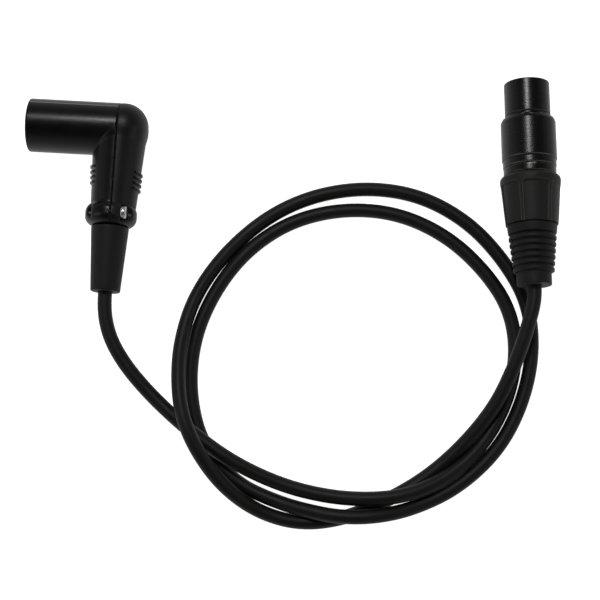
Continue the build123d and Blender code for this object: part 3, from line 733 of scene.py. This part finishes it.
class CABLE_OT_male_housing(bpy.types.Operator):
    """Front shell and back cover of the right-angle connector, with their grip ribs"""
    bl_idname = "cable.male_housing"
    bl_label = "Male housing"

    def execute(self, context):
        sizes = context.scene.cable_housing
        gap = 0.04
        low = (-sizes.reach - 1, -11, 21)
        high = (sizes.back + 1, 11, MALE_LEG + 11)
        for name, node, side, finish in (("Male_front_shell", "male_front_shell", -1, "gloss"),
                                         ("Male_back_cover", "male_back_cover", 1, "satin")):
            def half(p, side=side):
                plane = gap - side * (p[..., 0] - sizes.seam)
                return soft_common(self.body(p, sizes), plane, 0.4)
            start = (sizes.seam - 1, low[1], low[2]) if side > 0 else low
            end = high if side > 0 else (sizes.seam + 1, high[1], high[2])
            points, faces = skin(half, start, end, sizes.step)
            piece = piece_from(name, points, faces, MALE, FINISHES[finish], 60)
            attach(piece, "cable")
            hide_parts(node)
        self.grip(rib_tree())
        return {"FINISHED"}

    def body(self, p, sizes):
        """Distance to both halves together, hollow inside."""
        radial = np.hypot(p[..., 1], p[..., 2] - MALE_LEG)
        axial = -p[..., 0]
        around = np.hypot(p[..., 0], p[..., 1])
        neck, shoulder = (30.4, 0.6, 8.0, 7.8), (MALE_LEG, 1.05, 9.65, 9.3)
        barrel = drum(radial, axial, sizes.barrel_radius, -sizes.back, 60, 8.4)
        barrel = soft_common(barrel, axial - sizes.reach, 0.5)
        shape = soft_union(barrel, oval_taper(p, neck, shoulder), 0.5)
        proud = 0.35
        lip = soft_common(oval_taper(p, neck, shoulder, 0.3), radial - sizes.barrel_radius - proud, 0.2)
        shape = soft_union(shape, np.maximum(lip, p[..., 0] - 0.5), 0.2)
        ring = drum(around, p[..., 2], sizes.ring_radius, 23.2, 31.4, 3.4)
        shape = soft_union(shape, ring, 0.5)
        shape = soft_cut(shape, drum(radial, axial, sizes.bore_radius, 7, 60, 0.1), 0.35)
        chamber = drum(radial, axial, 7.3, -6.9, 8, 0.1)
        leg = oval_taper(p, (31.2, 0.6, 6.0, 5.8), (MALE_LEG, 1.05, 7.65, 7.3))
        seat = drum(around, p[..., 2], 5.9, 29.2, 31.8, 0.1)
        bore = drum(around, p[..., 2], 4.8, 10, 33, 0.1)
        hollow = np.minimum(np.minimum(chamber, leg), np.minimum(seat, bore))
        return soft_cut(soft_cut(shape, hollow, 0.2), self.pockets(p), 0.5)

    def pockets(self, p):
        """Distance to the four pockets in the ring, open outwards; the screw heads lie in two of them."""
        deep = np.minimum(np.abs(p[..., 1]) - SCREW_OFFSET, 0)
        off_axis = np.hypot(deep, p[..., 2] - SCREW_HEIGHT)
        return np.where(p[..., 0] > 0, np.maximum(off_axis - 2.75, 4.3 - p[..., 0]),
                        np.maximum(off_axis - 2.1, 6.0 + p[..., 0]))

    def grip(self, tree):
        """Four slanting ribs on each side of the leg."""
        for name, start, sweep, finish, slot in (
                ("Male_grip_left", math.radians(146), math.radians(68), "gloss", "gloss_black_plastic"),
                ("Male_grip_right", math.radians(-34), math.radians(68), "satin", "satin_black_plastic")):
            piece = grown(name, tree, MALE, count=4, start=37.6, pitch=1.9, low_radii=(8.5, 8.2, 1),
                          high_radii=(8.85, 8.5, 1), middle=0.75, tilt=math.radians(6), sweep=sweep,
                          width=0.7, thickness=1.2, edge=0.3, finish=FINISHES[finish],
                          **{"from": start})
            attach(piece, "cable")


class CABLE_OT_male_boot(bpy.types.Operator):
    """The smooth tapered strain relief of the male connector"""
    bl_idname = "cable.male_boot"
    bl_label = "Male boot"

    def execute(self, context):
        outline = soften([(2.7, 0), (5.2, 0), (6.65, 23.0), (4.6, 23.0), (4.6, 29.2), (5.7, 29.2),
                          (5.7, 31.3), (2.7, 31.3)], 0.45)
        boot = lathe("Male_boot", densify(outline, 1.5), MALE, FINISHES["rubber"])
        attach(boot, "cable")
        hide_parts("male_boot")
        return {"FINISHED"}


class CABLE_OT_screws(bpy.types.Operator):
    """The two pan-head screws that clamp the halves"""
    bl_idname = "cable.screws"
    bl_label = "Screws"

    def execute(self, context):
        screw = self.screw_mesh()
        tree = self.pair_tree()
        piece = grown("Male_screws", tree, MALE, screw=screw, offset=SCREW_OFFSET, height=SCREW_HEIGHT,
                      finish=FINISHES["nickel"])
        bpy.data.objects.remove(screw)
        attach(piece, "cable")
        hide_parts("male_flange_screws")
        return {"FINISHED"}

    def screw_mesh(self):
        """One screw along Z, with a domed head and a cross cut in it."""
        def field(p):
            radial = np.hypot(p[..., 0], p[..., 1])
            head = drum(radial, p[..., 2], 2.25, 4.3, 6.4, 0.75)
            shaft = drum(radial, p[..., 2], 1.1, -3.0, 4.6, 0.1)
            solid = soft_union(head, shaft, 0.1)
            x, y = np.abs(p[..., 0]), np.abs(p[..., 1])
            cross = np.maximum(np.minimum(np.maximum(x - 1.35, y - 0.32), np.maximum(x - 0.32, y - 1.35)),
                               5.3 - p[..., 2])
            return soft_cut(solid, cross, 0.12)
        points, faces = skin(field, (-2.6, -2.6, -3.4), (2.6, 2.6, 6.9), 0.13)
        return piece_from("Screw", points, faces, Matrix(), FINISHES["nickel"], 50)

    def pair_tree(self):
        """Geometry Nodes: one screw above the leg's axis and one below, both along X."""
        tree = bpy.data.node_groups.new("Screw_pair", "GeometryNodeTree")
        for name, kind in (("Screw", "NodeSocketObject"), ("Offset", "NodeSocketFloat"),
                           ("Height", "NodeSocketFloat"), ("Finish", "NodeSocketMaterial")):
            tree.interface.new_socket(name, in_out="INPUT", socket_type=kind)
        tree.interface.new_socket("Geometry", in_out="OUTPUT", socket_type="NodeSocketGeometry")
        given = add(tree, "NodeGroupInput").outputs
        gap = add(tree, "ShaderNodeMath", {0: given["Offset"], 1: -2.0}, operation="MULTIPLY")
        start = add(tree, "ShaderNodeCombineXYZ", {"Y": given["Offset"], "Z": given["Height"]})
        step = add(tree, "ShaderNodeCombineXYZ", {"Y": gap.outputs[0]})
        line = add(tree, "GeometryNodeMeshLine", {"Count": 2, "Start Location": start.outputs[0],
                                                  "Offset": step.outputs[0]})
        screw = add(tree, "GeometryNodeObjectInfo", {"Object": given["Screw"]})
        spread = add(tree, "GeometryNodeInstanceOnPoints", {
            "Points": line.outputs[0], "Instance": screw.outputs["Geometry"],
            "Rotation": (0, math.radians(90), 0)})
        whole = add(tree, "GeometryNodeRealizeInstances", {0: spread.outputs[0]})
        coated = add(tree, "GeometryNodeSetMaterial", {"Geometry": whole.outputs[0],
                                                       "Material": given["Finish"]})
        add(tree, "NodeGroupOutput", {0: coated.outputs[0]})
        return tree


class CABLE_OT_female_shell(bpy.types.Operator):
    """The turned shell of the straight connector, with the latch's window and slot"""
    bl_idname = "cable.female_shell"
    bl_label = "Female shell"

    def execute(self, context):
        outline = [(6.6, 27.7), (8.0, 27.7), (8.0, 39.6), (9.25, 39.6), (9.25, 42.3), (9.4, 42.3),
                   (9.4, 44.9), (9.7, 45.1), (9.7, 59.0), (9.2, 60.2), (8.05, 60.8), (7.7, 60.9),
                   (7.7, 61.6), (8.05, 61.7), (8.05, 73.7), (7.0, 73.7), (7.0, 46.9), (6.6, 46.9)]
        shell = lathe("Female_shell", densify(soften(outline, 0.2, 3), 0.4), FEMALE, FINISHES["plate"],
                      144, self.grooves, 35)
        for low, high in (((4.6, -1.8, 40.2), (8.5, 1.8, 59.3)), ((4.6, -1.8, 58.8), (8.7, 1.8, 67.4)),
                          ((6.0, -2.3, 43.5), (12, 2.3, 49.9))):
            self.cut(shell, low, high)
        shade(shell, 35)
        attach(shell, "cable")
        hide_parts("female_shell")
        return {"FINISHED"}

    def grooves(self, angle, radius, height):
        """Two fine turned lines that set off the bands behind the body."""
        depth, width = 0.2, 0.16
        lines = sum(math.exp(-((height - place) / width) ** 2) for place in (42.3, 45.0))
        return depth * lines if radius > 8.5 else 0

    def cut(self, piece, low, high):
        """Take a box, given in the plug frame, out of a piece."""
        work = bmesh.new()
        bmesh.ops.create_cube(work, size=1)
        centre = (Vector(low) + Vector(high)) / 2
        size = Vector(high) - Vector(low)
        roll = Matrix.Rotation(LATCH_ROLL, 4, "Z")
        bmesh.ops.transform(work, matrix=FEMALE @ roll @ Matrix.Translation(centre) @ Matrix.Diagonal(
            (*size, 1)), verts=work.verts)
        mesh = bpy.data.meshes.new("Cutter")
        work.to_mesh(mesh)
        work.free()
        cutter = bpy.data.objects.new("Cutter", mesh)
        bpy.context.scene.collection.objects.link(cutter)
        change = piece.modifiers.new("Cut", "BOOLEAN")
        change.operation, change.object, change.solver = "DIFFERENCE", cutter, "EXACT"
        view = bpy.context.evaluated_depsgraph_get()
        result = bpy.data.meshes.new_from_object(piece.evaluated_get(view), depsgraph=view)
        piece.modifiers.remove(change)
        piece.data = result
        bpy.data.objects.remove(cutter)


class CABLE_OT_coupling_nut(bpy.types.Operator):
    """The nut with recessed panels that screws onto the shell"""
    bl_idname = "cable.coupling_nut"
    bl_label = "Coupling nut"

    def execute(self, context):
        sizes = context.scene.cable_female
        outline = [(6.45, 21.6), (9.3, 21.6), (10.7, 37.6), (10.45, 38.6), (9.4, 39.4), (8.05, 39.4),
                   (8.05, 24.2), (6.45, 24.2)]

        def panel(angle, radius, height):
            """Depth of the panel at this place: flat floor, rounded top corners, soft walls."""
            if radius < 8.9 or height < 21.7:
                return 0
            mean_radius, land, top, corner, wall = 9.8, 0.6, 35.9, 1.5, 0.35
            turn = 2 * math.pi / sizes.panels
            across = abs((angle - PANEL_PHASE) % turn - turn / 2) * mean_radius
            half = turn / 2 * mean_radius - land
            out, up = across - (half - corner), height - (top - corner)
            edge = corner - math.hypot(max(out, 0), max(up, 0)) - min(max(out, up), 0)
            return sizes.panel_depth * min(max(edge / wall, 0), 1)
        nut = lathe("Coupling_nut", densify(soften(outline, 0.35, 4), 0.35), FEMALE, FINISHES["nylon"],
                    360, panel, 50)
        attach(nut, "nut")
        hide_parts("female_coupling_nut")
        return {"FINISHED"}


class CABLE_OT_female_boot(bpy.types.Operator):
    """The ribbed boot: a smooth core, raised rings and the end collar"""
    bl_idname = "cable.female_boot"
    bl_label = "Female boot"

    def execute(self, context):
        sizes = context.scene.cable_female
        outline = [(2.7, 0), (6.1, 0), (6.1, 4.6), (6.2, 4.9), (7.5, 18.0), (8.45, 18.2),
                   (8.8, 21.4), (6.4, 21.4), (6.4, 24.4), (7.4, 24.4), (7.4, 26.2), (2.7, 26.2)]
        core = lathe("Female_boot", densify(soften(outline, 0.4, 4), 1.0), FEMALE, FINISHES["rubber"])
        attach(core, "boot")
        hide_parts("female_boot")
        ribs = grown("Female_boot_ribs", bpy.data.node_groups["Spaced_ribs"], FEMALE,
                     count=sizes.rib_count, start=5.33, pitch=sizes.rib_pitch,
                     low_radii=(6.42, 6.42, 1), high_radii=(7.53, 7.53, 1), width=sizes.rib_width,
                     thickness=1.6, edge=0.42, finish=FINISHES["rubber"])
        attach(ribs, "boot")
        return {"FINISHED"}


class CABLE_OT_inner_pieces(bpy.types.Operator):
    """Finishes for the pieces that keep their CAD shape"""
    bl_idname = "cable.inner_pieces"
    bl_label = "Inner pieces"

    def execute(self, context):
        finish_of = {
            "male_insert": "insert", "female_insert": "insert", "male_cable_clamp": "natural",
            "female_chuck": "natural", "male_cable_end": "jacket", "female_cable_end": "jacket",
            "female_latch_lever": "plate", "female_latch_pin": "nickel", "female_latch_spring": "nickel",
        }
        for number in (1, 2, 3):
            finish_of[f"male_contact_pin_{number}"] = "silver"
            finish_of[f"female_contact_socket_{number}"] = "silver"
            finish_of[f"male_wire_{number}"] = f"core_{number}"
            finish_of[f"female_wire_{number}"] = f"core_{number}"
        for node, finish in finish_of.items():
            slots = bpy.data.objects[node].material_slots
            for slot in slots:
                slot.material = FINISHES[finish]
        return {"FINISHED"}


class CABLE_PT_panel(bpy.types.Panel):
    """Lists the steps and the sizes that shape them"""
    bl_idname = "CABLE_PT_panel"
    bl_label = "Audio cable"
    bl_space_type = "VIEW_3D"
    bl_region_type = "UI"
    bl_category = "Cable"

    def draw(self, context):
        for step in OPERATORS:
            self.layout.operator(step.bl_idname)
        for group in ("cable_studio", "cable_housing", "cable_cord", "cable_female"):
            sizes = getattr(context.scene, group)
            for name in sizes.__annotations__:
                self.layout.prop(sizes, name)


OPERATORS = (CABLE_OT_stage, CABLE_OT_cord, CABLE_OT_male_housing, CABLE_OT_male_boot, CABLE_OT_screws,
             CABLE_OT_female_shell, CABLE_OT_coupling_nut, CABLE_OT_female_boot, CABLE_OT_inner_pieces)
GROUPS = {"cable_studio": StudioSizes, "cable_housing": HousingSizes, "cable_cord": CordSizes,
          "cable_female": FemaleSizes}
CLASSES = (*GROUPS.values(), *OPERATORS, CABLE_PT_panel)


def register():
    for kind in CLASSES:
        bpy.utils.register_class(kind)
    for name, kind in GROUPS.items():
        setattr(bpy.types.Scene, name, PointerProperty(type=kind))


def unregister():
    for name in GROUPS:
        delattr(bpy.types.Scene, name)
    for kind in reversed(CLASSES):
        bpy.utils.unregister_class(kind)


def main():
    register()
    make_finishes()
    for step in OPERATORS:
        group, name = step.bl_idname.split(".")
        getattr(getattr(bpy.ops, group), name)()


if __name__ == "__main__":
    main()
